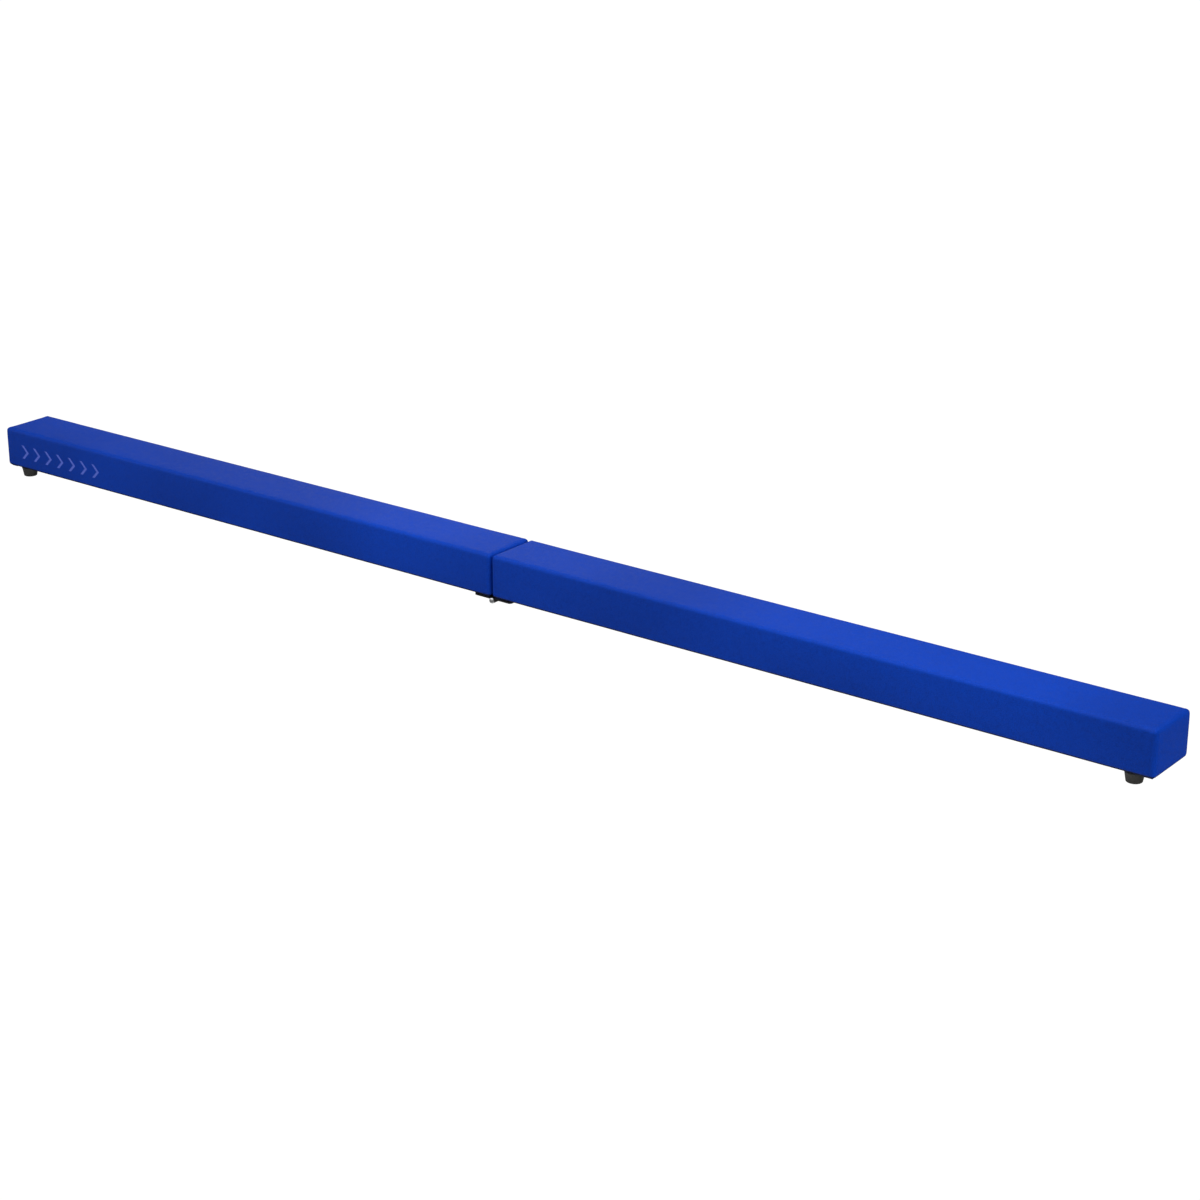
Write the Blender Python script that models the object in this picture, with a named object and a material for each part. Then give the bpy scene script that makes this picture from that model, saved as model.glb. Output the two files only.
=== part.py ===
"""Folding floor balance beam: two padded halves joined by a butt hinge under the middle.

Units are metres. +X runs along the beam, +Y to its back and +Z up. The origin is on the floor,
under the middle of the hinge. The right half folds down and under the left one about the pin.
"""

import math

import bmesh
import bpy
from mathutils import Matrix, Vector

# Driving dimensions of the beam.
BEAM_LENGTH = 2.400
BEAM_WIDTH = 0.106
PAD_HEIGHT = 0.074  # from the cover's underside to its top
FOOT_HEIGHT = 0.018  # from the floor to the cover's underside
HALVES_GAP = 0.0024  # between the end faces of the two halves
GAP = 0.0003  # left between pieces that touch

# Upholstery.
SKIN = 0.0012  # coated fabric of the cover
EDGE_RADIUS = 0.0035
EDGE_STEPS = 3
HEM = 0.016  # the cover's edge, turned in under the beam
DUST_CLOTH = 0.0004
DUST_CLOTH_INSET = 0.009  # from the cover's edge to the cloth's edge
TOP_FOAM = 0.010
SIDE_FOAM = 0.006

# Wooden box inside each half.
BOARD = 0.009
RAIL_WIDTH = 0.018
INNER_BLOCK = 0.120  # length of the block that holds the hinge screws
OUTER_BLOCK = 0.080
RIB = 0.036
RIB_PLACES = (0.400, 0.780)  # start of each rib, from the middle of the beam

# Hinge: its leaves lie against the underside, and its barrel hangs below them.
HINGE_LENGTH = 0.098
LEAF_REACH = 0.039  # from the pin's axis to a leaf's edge
LEAF = 0.0030
BARREL_RADIUS = 0.0050
PIN_RADIUS = 0.0025
PIN_BORE_RADIUS = 0.0026
PIN_HEAD_RADIUS = 0.0050
PIN_HEAD = 0.0034
PIN_HEAD_RIM = 0.0006  # straight part of the head, below its dome
DOME_STEPS = 5
KNUCKLES = 5
KNUCKLE_GAP = 0.0004
SLOT_CLEARANCE = 0.0005  # between a knuckle and the leaf that it turns in

# Feet and screws.
FOOT_FROM_END = 0.0395
FOOT_FROM_SIDE = 0.020
FOOT_FLOOR_RADIUS = 0.0124
FOOT_TOP_RADIUS = 0.0154
FOOT_EDGE = 0.0012
COUNTERBORE_RADIUS = 0.0055
COUNTERBORE = 0.008
WASHER_RADIUS = 0.0051
WASHER = 0.001
PAN_HEAD_RADIUS = 0.0042
PAN_HEAD_FLAT_RADIUS = 0.0029
PAN_HEAD = 0.003
PAN_HEAD_CHAMFER = 0.0012
FOOT_SCREW_RADIUS = 0.00225
FOOT_SCREW_LENGTH = 0.038
HINGE_SCREW_RADIUS = 0.0021
HINGE_SCREW_LENGTH = 0.025
COUNTERSUNK_RADIUS = 0.0040
COUNTERSINK = 0.0020
HINGE_SCREW_REACH = 0.022, 0.031  # from the pin's axis, staggered
HINGE_SCREW_PLACES = -0.033, -0.012, 0.012, 0.033
SCREW_TIP = 0.003
RECESS_DEPTH = 0.0014
RECESS_ARM = 0.0021
RECESS_WIDTH = 0.0008

ROUND = 32  # sides of the round pieces
ROUND_SMALL = 16  # sides of screws and their holes

# Levels and reaches that follow from those.
UNDERSIDE = FOOT_HEIGHT
TOP = UNDERSIDE + PAD_HEIGHT
HALF_WIDTH = BEAM_WIDTH / 2
INNER_END = HALVES_GAP / 2
OUTER_END = BEAM_LENGTH / 2
LINING = SKIN + GAP
CORE_BOTTOM = UNDERSIDE + LINING
FOAM_TOP = TOP - LINING
FOAM_IN = INNER_END + LINING
FOAM_OUT = OUTER_END - LINING
FOAM_SIDE = HALF_WIDTH - LINING
CORE_TOP = FOAM_TOP - TOP_FOAM - GAP
CORE_IN = FOAM_IN + SIDE_FOAM + GAP
CORE_OUT = FOAM_OUT - SIDE_FOAM - GAP
CORE_SIDE = FOAM_SIDE - SIDE_FOAM - GAP
RAIL_BOTTOM = CORE_BOTTOM + BOARD + GAP
RAIL_TOP = CORE_TOP - BOARD - GAP
BLOCK_SIDE = CORE_SIDE - RAIL_WIDTH - GAP
CLOTH_TOP = UNDERSIDE - GAP
CLOTH_BOTTOM = CLOTH_TOP - DUST_CLOTH
FITTING_TOP = CLOTH_BOTTOM - GAP  # feet and hinge leaves press against the cloth here
PIN_HEIGHT = FITTING_TOP - BARREL_RADIUS
LEAF_BOTTOM = FITTING_TOP - LEAF
FOOT_X = OUTER_END - FOOT_FROM_END
FOOT_Y = HALF_WIDTH - FOOT_FROM_SIDE
WASHER_TOP = COUNTERBORE - GAP
PAN_HEAD_TOP = WASHER_TOP - WASHER - GAP


def clear_scene():
    for obj in list(bpy.data.objects):
        bpy.data.objects.remove(obj)


def make_material(name, color, roughness, metallic=0.0):
    material = bpy.data.materials.new(name)
    material.use_nodes = True
    shader = material.node_tree.nodes["Principled BSDF"]
    shader.inputs["Base Color"].default_value = (*color, 1.0)
    shader.inputs["Roughness"].default_value = roughness
    shader.inputs["Metallic"].default_value = metallic
    return material


def make_materials():
    return {
        "leathercloth": make_material("leathercloth", (0.006, 0.034, 0.318), 0.55),
        "dust_cloth": make_material("dust_cloth", (0.012, 0.012, 0.013), 0.95),
        "foam": make_material("foam", (0.72, 0.72, 0.70), 0.9),
        "plywood": make_material("plywood", (0.56, 0.40, 0.24), 0.7),
        "pine": make_material("pine", (0.68, 0.50, 0.29), 0.7),
        "black_steel": make_material("black_steel", (0.012, 0.012, 0.012), 0.45),
        "zinc": make_material("zinc", (0.72, 0.72, 0.70), 0.3, 1.0),
        "rubber": make_material("rubber", (0.03, 0.03, 0.031), 0.75),
    }


def add_object(name, mesh, material, parent, place=(0.0, 0.0, 0.0)):
    """One named piece at a place in the world, held by a parent empty."""
    obj = bpy.data.objects.new(name, mesh)
    bpy.context.scene.collection.objects.link(obj)
    if not mesh.materials:
        mesh.materials.append(material)
    obj.parent = parent
    obj.location = Vector(place) - parent.location
    return obj


def mesh_from(name, bm):
    bmesh.ops.recalc_face_normals(bm, faces=bm.faces)
    mesh = bpy.data.meshes.new(name)
    bm.to_mesh(mesh)
    bm.free()
    return mesh


def smooth(mesh):
    mesh.shade_smooth()
    mesh.set_sharp_from_angle(angle=math.radians(35))


def box_bmesh(low, high):
    """A box between two corners."""
    low, high = Vector(low), Vector(high)
    bm = bmesh.new()
    bmesh.ops.create_cube(bm, size=1.0)
    bmesh.ops.scale(bm, vec=high - low, verts=bm.verts)
    bmesh.ops.translate(bm, vec=(low + high) / 2, verts=bm.verts)
    return bm


def turned_bmesh(profile, sides, closed=True):
    """The profile's points (radius, height) turned about Z. An open profile starts and ends on the axis."""
    bm = bmesh.new()
    verts = [bm.verts.new((radius, 0.0, height)) for radius, height in profile]
    pairs = list(zip(verts, verts[1:]))
    if closed:
        pairs.append((verts[-1], verts[0]))
    edges = [bm.edges.new(pair) for pair in pairs]
    bmesh.ops.spin(
        bm,
        geom=verts + edges,
        cent=(0.0, 0.0, 0.0),
        axis=(0.0, 0.0, 1.0),
        angle=math.tau,
        steps=sides,
        use_duplicate=False,
        use_merge=True,
    )
    bmesh.ops.remove_doubles(bm, verts=bm.verts, dist=1e-6)
    return bm


def add_cutter(name, bm, parent):
    cutter = add_object(name, mesh_from(name, bm), None, parent)
    cutter.hide_render = True
    cutter.display_type = "WIRE"
    return cutter


def cut(obj, cutter):
    modifier = obj.modifiers.new(cutter.name, "BOOLEAN")
    modifier.operation = "DIFFERENCE"
    modifier.solver = "EXACT"
    modifier.object = cutter


def apply_modifiers(obj):
    """Fixes the modifiers' result in the object's own mesh, so that copies can share it."""
    graph = bpy.context.evaluated_depsgraph_get()
    mesh = bpy.data.meshes.new_from_object(obj.evaluated_get(graph))
    obj.modifiers.clear()
    obj.data = mesh
    return mesh


class Half:
    """One half of the beam. Its pieces are placed by their reach from the middle, on its own side."""

    def __init__(self, name, side, pivot, materials):
        self.name = name
        self.side = side
        self.pivot = pivot
        self.materials = materials

    def box(self, piece, x_range, y_range, z_range, material):
        """A box that reaches over x_range from the beam's middle."""
        ends = sorted(self.side * x for x in x_range)
        bm = box_bmesh((ends[0], y_range[0], z_range[0]), (ends[1], y_range[1], z_range[1]))
        name = f"{self.name}_{piece}"
        return add_object(name, mesh_from(name, bm), self.materials[material], self.pivot)

    def screw_places(self):
        """Where the hinge screws go, front to back, in two staggered rows."""
        return [
            (self.side * HINGE_SCREW_REACH[i % 2], y)
            for i, y in enumerate(HINGE_SCREW_PLACES)
        ]

    def foot_places(self):
        return {"front": (self.side * FOOT_X, -FOOT_Y), "back": (self.side * FOOT_X, FOOT_Y)}


def add_cover(half):
    """Leathercloth stretched over the top, sides and ends, with its hem turned in below."""
    ends = sorted((half.side * INNER_END, half.side * OUTER_END))
    bm = box_bmesh((ends[0], -HALF_WIDTH, UNDERSIDE), (ends[1], HALF_WIDTH, TOP))
    outer_edges = list(bm.edges)
    bottom = [face for face in bm.faces if face.normal.z < -0.5]
    bmesh.ops.inset_region(bm, faces=bottom, thickness=HEM, use_even_offset=True)
    bmesh.ops.delete(bm, geom=bottom, context="FACES")
    bmesh.ops.bevel(
        bm,
        geom=outer_edges,
        offset=EDGE_RADIUS,
        offset_type="OFFSET",
        segments=EDGE_STEPS,
        profile=0.5,
        affect="EDGES",
        clamp_overlap=True,
    )
    name = f"{half.name}_cover"
    mesh = mesh_from(name, bm)
    smooth(mesh)
    cover = add_object(name, mesh, half.materials["leathercloth"], half.pivot)
    wall = cover.modifiers.new("wall", "SOLIDIFY")
    wall.thickness = SKIN
    wall.offset = -1.0
    wall.use_even_offset = True
    return cover


def faces_cover(face):
    """True for a face that lies against the inside of the cover."""
    middle = face.calc_center_median()
    reach = abs(middle.x)
    return (
        abs(reach - FOAM_IN) < GAP
        or abs(reach - FOAM_OUT) < GAP
        or abs(abs(middle.y) - FOAM_SIDE) < GAP
        or abs(middle.z - FOAM_TOP) < GAP
        or abs(middle.z - CORE_BOTTOM) < GAP
    )


def add_foam_pad(half, piece, x_range, y_range, z_range):
    """A foam pad whose edges are rounded where they fill a rounded edge of the cover."""
    pad = half.box(piece, x_range, y_range, z_range, "foam")
    bm = bmesh.new()
    bm.from_mesh(pad.data)
    rounded = [edge for edge in bm.edges if all(faces_cover(face) for face in edge.link_faces)]
    bmesh.ops.bevel(
        bm,
        geom=rounded,
        offset=EDGE_RADIUS - LINING,
        offset_type="OFFSET",
        segments=EDGE_STEPS,
        profile=0.5,
        affect="EDGES",
        clamp_overlap=True,
    )
    bm.to_mesh(pad.data)
    bm.free()
    smooth(pad.data)


def add_foam(half):
    """A thick pad on top and thin pads round the sides and ends."""
    sides_z = CORE_BOTTOM, CORE_TOP
    top_z = FOAM_TOP - TOP_FOAM, FOAM_TOP
    along = FOAM_IN, FOAM_OUT
    add_foam_pad(half, "top_foam", along, (-FOAM_SIDE, FOAM_SIDE), top_z)
    add_foam_pad(half, "front_foam", along, (-FOAM_SIDE, -FOAM_SIDE + SIDE_FOAM), sides_z)
    add_foam_pad(half, "back_foam", along, (FOAM_SIDE - SIDE_FOAM, FOAM_SIDE), sides_z)
    across = -CORE_SIDE, CORE_SIDE
    add_foam_pad(half, "inner_end_foam", (FOAM_IN, FOAM_IN + SIDE_FOAM), across, sides_z)
    add_foam_pad(half, "outer_end_foam", (FOAM_OUT - SIDE_FOAM, FOAM_OUT), across, sides_z)


def add_wooden_box(half, screw_holes):
    """Plywood boards above and below, pine rails between them, and blocks and ribs across."""
    along = CORE_IN, CORE_OUT
    across = -CORE_SIDE, CORE_SIDE
    rails_z = RAIL_BOTTOM, RAIL_TOP
    between = -BLOCK_SIDE, BLOCK_SIDE
    half.box("top_board", along, across, (CORE_TOP - BOARD, CORE_TOP), "plywood")
    bottom_z = CORE_BOTTOM, CORE_BOTTOM + BOARD
    bottom_board = half.box("bottom_board", along, across, bottom_z, "plywood")
    front = -CORE_SIDE, -CORE_SIDE + RAIL_WIDTH
    back = CORE_SIDE - RAIL_WIDTH, CORE_SIDE
    front_rail = half.box("front_rail", along, front, rails_z, "pine")
    back_rail = half.box("back_rail", along, back, rails_z, "pine")
    hinge_block_x = CORE_IN, CORE_IN + INNER_BLOCK
    hinge_block = half.box("hinge_block", hinge_block_x, between, rails_z, "pine")
    half.box("end_block", (CORE_OUT - OUTER_BLOCK, CORE_OUT), between, rails_z, "pine")
    for number, start in enumerate(RIB_PLACES, 1):
        half.box(f"rib_{number}", (start, start + RIB), between, rails_z, "pine")
    for piece in (bottom_board, front_rail, back_rail, hinge_block):
        cut(piece, screw_holes)


def add_dust_cloth(half, screw_holes):
    """Black non-woven cloth that hides the hem and the board."""
    along = INNER_END + DUST_CLOTH_INSET, OUTER_END - DUST_CLOTH_INSET
    side = HALF_WIDTH - DUST_CLOTH_INSET
    levels = CLOTH_BOTTOM, CLOTH_TOP
    cloth = half.box("dust_cloth", along, (-side, side), levels, "dust_cloth")
    cut(cloth, screw_holes)


def rod_bmesh(places, radius, low, high):
    """Upright rods at the places, in one mesh."""
    bm = bmesh.new()
    for x, y in places:
        middle = Matrix.Translation((x, y, (low + high) / 2))
        bmesh.ops.create_cone(
            bm,
            cap_ends=True,
            segments=ROUND_SMALL,
            radius1=radius,
            radius2=radius,
            depth=high - low,
            matrix=middle,
        )
    return bm


def add_screw_holes(half):
    """One cutter for the holes that the hinge screws and the foot screws make."""
    bm = rod_bmesh(
        half.screw_places(),
        HINGE_SCREW_RADIUS + GAP,
        CLOTH_BOTTOM - GAP,
        LEAF_BOTTOM + HINGE_SCREW_LENGTH + GAP,
    )
    foot_holes = rod_bmesh(
        half.foot_places().values(),
        FOOT_SCREW_RADIUS + GAP,
        CLOTH_BOTTOM - GAP,
        PAN_HEAD_TOP + FOOT_SCREW_LENGTH + GAP,
    )
    loose = bpy.data.meshes.new("foot_holes")
    foot_holes.to_mesh(loose)
    foot_holes.free()
    bm.from_mesh(loose)
    return add_cutter(f"{half.name}_screw_holes", bm, half.pivot)


def recess_cutters(name, head_level, parent):
    """The two crossing arms that the driver's tip would fill, cut up into a screw's head."""
    cutters = []
    for number, (along_x, along_y) in enumerate(
        ((RECESS_ARM, RECESS_WIDTH / 2), (RECESS_WIDTH / 2, RECESS_ARM)), 1
    ):
        low = -along_x, -along_y, head_level - RECESS_DEPTH
        high = along_x, along_y, head_level + RECESS_DEPTH
        cutters.append(add_cutter(f"{name}_recess_{number}", box_bmesh(low, high), parent))
    return cutters


def screw_mesh(name, profile, head_level, material, parent):
    """A turned screw with a cross recess, its axis on Z and its drive side facing down."""
    mesh = mesh_from(name, turned_bmesh(profile, ROUND_SMALL, closed=False))
    mesh.materials.append(material)
    blank = add_object(name, mesh, material, parent)
    for cross in recess_cutters(name, head_level, parent):
        cut(blank, cross)
    finished = apply_modifiers(blank)
    bpy.data.objects.remove(blank)
    smooth(finished)
    return finished


def hinge_screw_mesh(material, parent):
    """A countersunk wood screw, its head flush with the leaf's lower face."""
    level = LEAF_BOTTOM
    tip = level + HINGE_SCREW_LENGTH
    profile = [
        (0.0, level),
        (COUNTERSUNK_RADIUS, level),
        (HINGE_SCREW_RADIUS, level + COUNTERSINK),
        (HINGE_SCREW_RADIUS, tip - SCREW_TIP),
        (0.0, tip),
    ]
    return screw_mesh("hinge_screw", profile, level, material, parent)


def foot_screw_mesh(material, parent):
    """A pan-headed wood screw that holds a foot through its washer."""
    level = PAN_HEAD_TOP - PAN_HEAD
    tip = PAN_HEAD_TOP + FOOT_SCREW_LENGTH
    profile = [
        (0.0, level),
        (PAN_HEAD_FLAT_RADIUS, level),
        (PAN_HEAD_RADIUS, level + PAN_HEAD_CHAMFER),
        (PAN_HEAD_RADIUS, PAN_HEAD_TOP),
        (FOOT_SCREW_RADIUS, PAN_HEAD_TOP),
        (FOOT_SCREW_RADIUS, tip - SCREW_TIP),
        (0.0, tip),
    ]
    return screw_mesh("foot_screw", profile, level, material, parent)


def foot_mesh():
    """A tapered rubber foot, narrower at the floor, with a counterbored hole."""
    hole = FOOT_SCREW_RADIUS + GAP
    edge_centre = FOOT_FLOOR_RADIUS - FOOT_EDGE
    rounded_edge = [
        (edge_centre + FOOT_EDGE * math.sin(turn), FOOT_EDGE - FOOT_EDGE * math.cos(turn))
        for turn in (0.0, math.pi / 6, math.pi / 3, math.pi / 2)
    ]
    profile = [
        (COUNTERBORE_RADIUS, 0.0),
        *rounded_edge,
        (FOOT_TOP_RADIUS, FITTING_TOP),
        (hole, FITTING_TOP),
        (hole, COUNTERBORE),
        (COUNTERBORE_RADIUS, COUNTERBORE),
    ]
    mesh = mesh_from("foot", turned_bmesh(profile, ROUND))
    smooth(mesh)
    return mesh


def washer_mesh():
    """A flat washer under the foot screw's head."""
    hole = FOOT_SCREW_RADIUS + GAP
    profile = [
        (hole, WASHER_TOP - WASHER),
        (WASHER_RADIUS, WASHER_TOP - WASHER),
        (WASHER_RADIUS, WASHER_TOP),
        (hole, WASHER_TOP),
    ]
    mesh = mesh_from("washer", turned_bmesh(profile, ROUND))
    smooth(mesh)
    return mesh


def add_feet(half, meshes):
    for place, (x, y) in half.foot_places().items():
        for piece, material in (("foot", "rubber"), ("foot_washer", "zinc"), ("foot_screw", "zinc")):
            name = f"{half.name}_{place}_{piece}"
            add_object(name, meshes[piece], half.materials[material], half.pivot, (x, y, 0.0))


def add_hinge_screws(half, mesh):
    for number, (x, y) in enumerate(half.screw_places(), 1):
        name = f"{half.name}_hinge_screw_{number}"
        add_object(name, mesh, half.materials["zinc"], half.pivot, (x, y, 0.0))


def leaf_outline(side):
    """The leaf's section, across the pin: a barrel with the flat leaf leaving it at its top."""
    leaf_under = BARREL_RADIUS - LEAF
    meets = math.asin(leaf_under / BARREL_RADIUS)
    sweep = 1.5 * math.pi + meets
    steps = ROUND * 3 // 4
    points = [(LEAF_REACH, BARREL_RADIUS)]
    for step in range(steps + 1):
        angle = math.pi / 2 + sweep * step / steps
        points.append((BARREL_RADIUS * math.cos(angle), BARREL_RADIUS * math.sin(angle)))
    points.append((LEAF_REACH, leaf_under))
    return [(side * x, PIN_HEIGHT + z) for x, z in points]


def knuckle_spans(first):
    """The stretches of every second knuckle, from the first one named."""
    length = HINGE_LENGTH / KNUCKLES
    return [
        (-HINGE_LENGTH / 2 + i * length, -HINGE_LENGTH / 2 + (i + 1) * length)
        for i in range(first, KNUCKLES, 2)
    ]


def slots_bmesh(side, spans):
    """Boxes that clear the leaf away round the other leaf's knuckles."""
    bm = bmesh.new()
    reach = BARREL_RADIUS + SLOT_CLEARANCE
    ends = sorted((-side * 2 * reach, side * reach))
    for start, stop in spans:
        low = Vector((ends[0], start - KNUCKLE_GAP / 2, PIN_HEIGHT - 2 * reach))
        high = Vector((ends[1], stop + KNUCKLE_GAP / 2, PIN_HEIGHT + 2 * reach))
        matrix = Matrix.Translation((low + high) / 2) @ Matrix.Diagonal((*(high - low), 1.0))
        bmesh.ops.create_cube(bm, size=1.0, matrix=matrix)
    return bm


def countersunk_holes_bmesh(places):
    """Holes through a leaf, wider at its lower face for the screws' heads."""
    bm = bmesh.new()
    profile = [
        (0.0, LEAF_BOTTOM - COUNTERSINK),
        (COUNTERSUNK_RADIUS + GAP + COUNTERSINK, LEAF_BOTTOM - COUNTERSINK),
        (HINGE_SCREW_RADIUS + GAP, LEAF_BOTTOM + COUNTERSINK),
        (HINGE_SCREW_RADIUS + GAP, FITTING_TOP + COUNTERSINK),
        (0.0, FITTING_TOP + COUNTERSINK),
    ]
    for x, y in places:
        hole = mesh_from("hole", turned_bmesh(profile, ROUND_SMALL, closed=False))
        hole.transform(Matrix.Translation((x, y, 0.0)))
        bm.from_mesh(hole)
    return bm


def add_leaf(half, other_spans, bore):
    """One leaf of the hinge with its knuckles."""
    name = f"{half.name}_hinge_leaf"
    bm = bmesh.new()
    outline = [bm.verts.new((x, -HINGE_LENGTH / 2, z)) for x, z in leaf_outline(half.side)]
    face = bm.faces.new(outline)
    grown = bmesh.ops.extrude_face_region(bm, geom=[face])
    moved = [item for item in grown["geom"] if isinstance(item, bmesh.types.BMVert)]
    bmesh.ops.translate(bm, vec=(0.0, HINGE_LENGTH, 0.0), verts=moved)
    mesh = mesh_from(name, bm)
    smooth(mesh)
    leaf = add_object(name, mesh, half.materials["black_steel"], half.pivot)
    slots = slots_bmesh(half.side, other_spans)
    cut(leaf, add_cutter(f"{name}_slots", slots, half.pivot))
    cut(leaf, bore)
    holes = countersunk_holes_bmesh(half.screw_places())
    cut(leaf, add_cutter(f"{name}_holes", holes, half.pivot))


def along_y(mesh):
    """Turns a piece made on Z to lie on the pin's axis."""
    mesh.transform(Matrix.Translation((0.0, 0.0, PIN_HEIGHT)) @ Matrix.Rotation(math.pi / 2, 4, "X"))
    return mesh


def add_pin(material, parent):
    """A steel pin through every knuckle, with a domed head formed on each end."""
    head_start = HINGE_LENGTH / 2 + GAP
    dome_start = head_start + PIN_HEAD_RIM
    head = [(PIN_RADIUS, head_start), (PIN_HEAD_RADIUS, head_start)]
    for step in range(DOME_STEPS):
        turn = math.pi / 2 * step / DOME_STEPS
        rise = (PIN_HEAD - PIN_HEAD_RIM) * math.sin(turn)
        head.append((PIN_HEAD_RADIUS * math.cos(turn), dome_start + rise))
    head.append((0.0, head_start + PIN_HEAD))
    profile = [(radius, -y) for radius, y in reversed(head)] + head
    mesh = along_y(mesh_from("hinge_pin", turned_bmesh(profile, ROUND, closed=False)))
    smooth(mesh)
    add_object("hinge_pin", mesh, material, parent)


def add_bore(parent):
    """A cutter for the hole through the knuckles, longer than the hinge."""
    profile = [
        (0.0, -HINGE_LENGTH),
        (PIN_BORE_RADIUS, -HINGE_LENGTH),
        (PIN_BORE_RADIUS, HINGE_LENGTH),
        (0.0, HINGE_LENGTH),
    ]
    mesh = along_y(mesh_from("pin_bore", turned_bmesh(profile, ROUND, closed=False)))
    bm = bmesh.new()
    bm.from_mesh(mesh)
    return add_cutter("hinge_pin_bore", bm, parent)


def add_pivot(name):
    """An empty on the hinge pin's axis, which holds one half's pieces."""
    pivot = bpy.data.objects.new(name, None)
    bpy.context.scene.collection.objects.link(pivot)
    pivot.location = (0.0, 0.0, PIN_HEIGHT)
    return pivot


def main():
    clear_scene()
    materials = make_materials()
    left = Half("left", -1, add_pivot("left_half"), materials)
    right = Half("right", 1, add_pivot("right_half"), materials)
    meshes = {
        "foot": foot_mesh(),
        "foot_washer": washer_mesh(),
        "foot_screw": foot_screw_mesh(materials["zinc"], left.pivot),
    }
    hinge_screw = hinge_screw_mesh(materials["zinc"], left.pivot)
    left_knuckles = knuckle_spans(0)
    right_knuckles = knuckle_spans(1)
    bore = add_bore(left.pivot)
    for half, other_spans in ((left, right_knuckles), (right, left_knuckles)):
        screw_holes = add_screw_holes(half)
        add_cover(half)
        add_foam(half)
        add_wooden_box(half, screw_holes)
        add_dust_cloth(half, screw_holes)
        add_feet(half, meshes)
        add_leaf(half, other_spans, bore)
        add_hinge_screws(half, hinge_screw)
    add_pin(materials["zinc"], left.pivot)


main()
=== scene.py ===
"""Looks for a folding floor balance beam: covers, feet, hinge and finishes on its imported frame."""

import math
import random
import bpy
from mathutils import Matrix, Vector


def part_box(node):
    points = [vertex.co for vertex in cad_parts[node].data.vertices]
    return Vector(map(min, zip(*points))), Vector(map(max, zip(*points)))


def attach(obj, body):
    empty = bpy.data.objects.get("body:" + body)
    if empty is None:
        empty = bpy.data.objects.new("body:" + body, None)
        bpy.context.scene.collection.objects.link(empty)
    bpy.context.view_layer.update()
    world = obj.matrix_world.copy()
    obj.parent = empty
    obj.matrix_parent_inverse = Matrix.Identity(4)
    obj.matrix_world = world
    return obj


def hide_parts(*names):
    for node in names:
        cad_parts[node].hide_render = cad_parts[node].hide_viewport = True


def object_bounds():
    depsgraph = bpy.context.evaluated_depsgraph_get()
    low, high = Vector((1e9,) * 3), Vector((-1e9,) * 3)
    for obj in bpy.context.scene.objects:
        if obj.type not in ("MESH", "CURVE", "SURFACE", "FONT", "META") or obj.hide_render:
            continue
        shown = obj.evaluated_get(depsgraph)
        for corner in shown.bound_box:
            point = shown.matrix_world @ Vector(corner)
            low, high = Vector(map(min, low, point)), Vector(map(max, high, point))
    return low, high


bl_info = {
    "name": "Folding Floor Beam",
    "version": (1, 0, 0),
    "blender": (4, 5, 0),
    "location": "View3D > Sidebar > Floor Beam",
    "description": "Upholsters and finishes a two-part floor balance beam",
    "category": "Object",
}

import bmesh
import bpy
from mathutils import Matrix, Vector, noise

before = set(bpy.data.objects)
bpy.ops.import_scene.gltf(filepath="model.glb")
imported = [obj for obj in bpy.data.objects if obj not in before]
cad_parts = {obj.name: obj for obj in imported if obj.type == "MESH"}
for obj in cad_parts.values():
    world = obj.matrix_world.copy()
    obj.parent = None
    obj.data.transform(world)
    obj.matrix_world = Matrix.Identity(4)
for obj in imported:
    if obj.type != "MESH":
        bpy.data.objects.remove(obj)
CAD_LOW, CAD_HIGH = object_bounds()

SIDES = {"left": -1, "right": 1}
PLACES = ("front", "back")
FOAMS = ("top_foam", "front_foam", "back_foam", "inner_end_foam", "outer_end_foam")
PLYWOOD = ("top_board", "bottom_board")
PINE = ("front_rail", "back_rail", "hinge_block", "end_block", "rib_1", "rib_2")
X, Y, Z = Vector((1, 0, 0)), Vector((0, 1, 0)), Vector((0, 0, 1))

# The sharpest edges, in degrees, that are still shaded smooth: on soft pieces, and on hard ones.
SOFT_ANGLE = 40
HARD_ANGLE = 35


def linear(code):
    """An sRGB hex colour, such as #1A3FA8, as linear red, green and blue."""
    shares = [int(code[i : i + 2], 16) / 255 for i in (1, 3, 5)]
    return tuple(s / 12.92 if s <= 0.04045 else ((s + 0.055) / 1.055) ** 2.4 for s in shares)


def size_field(name, description, default):
    return bpy.props.FloatProperty(
        name=name, description=description, default=default, min=0.0, precision=5, unit="LENGTH"
    )


def colour_field(name, description, code):
    return bpy.props.FloatVectorProperty(
        name=name, description=description, default=linear(code), min=0.0, max=1.0, subtype="COLOR"
    )


class FloorBeamSizes(bpy.types.PropertyGroup):
    edge_radius: size_field("Edge radius", "Roundness of the cover's edges", 0.0062)
    hem: size_field("Hem", "Width of the cover turned in under the beam", 0.016)
    skin: size_field("Leathercloth", "Thickness of the coated fabric", 0.0012)
    shrink: size_field("Shrink", "How much smaller the cover is before its foam fills it", 0.0002)
    swell: size_field("Swell", "Furthest that the foam pushes a face of the cover out", 0.0009)
    cell: size_field("Cell", "Spacing of the cover's mesh before it is subdivided", 0.008)
    unevenness: size_field("Unevenness", "Height of the slow waves in the cover", 0.00012)
    pleat: size_field("Pleat", "Depth of the fold line beside each upright edge", 0.0005)
    tuck: size_field("Tuck", "Leg of the folded triangle under each corner", 0.015)
    staple_pitch: size_field("Staple pitch", "Distance between staples along the dust cloth", 0.052)


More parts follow.
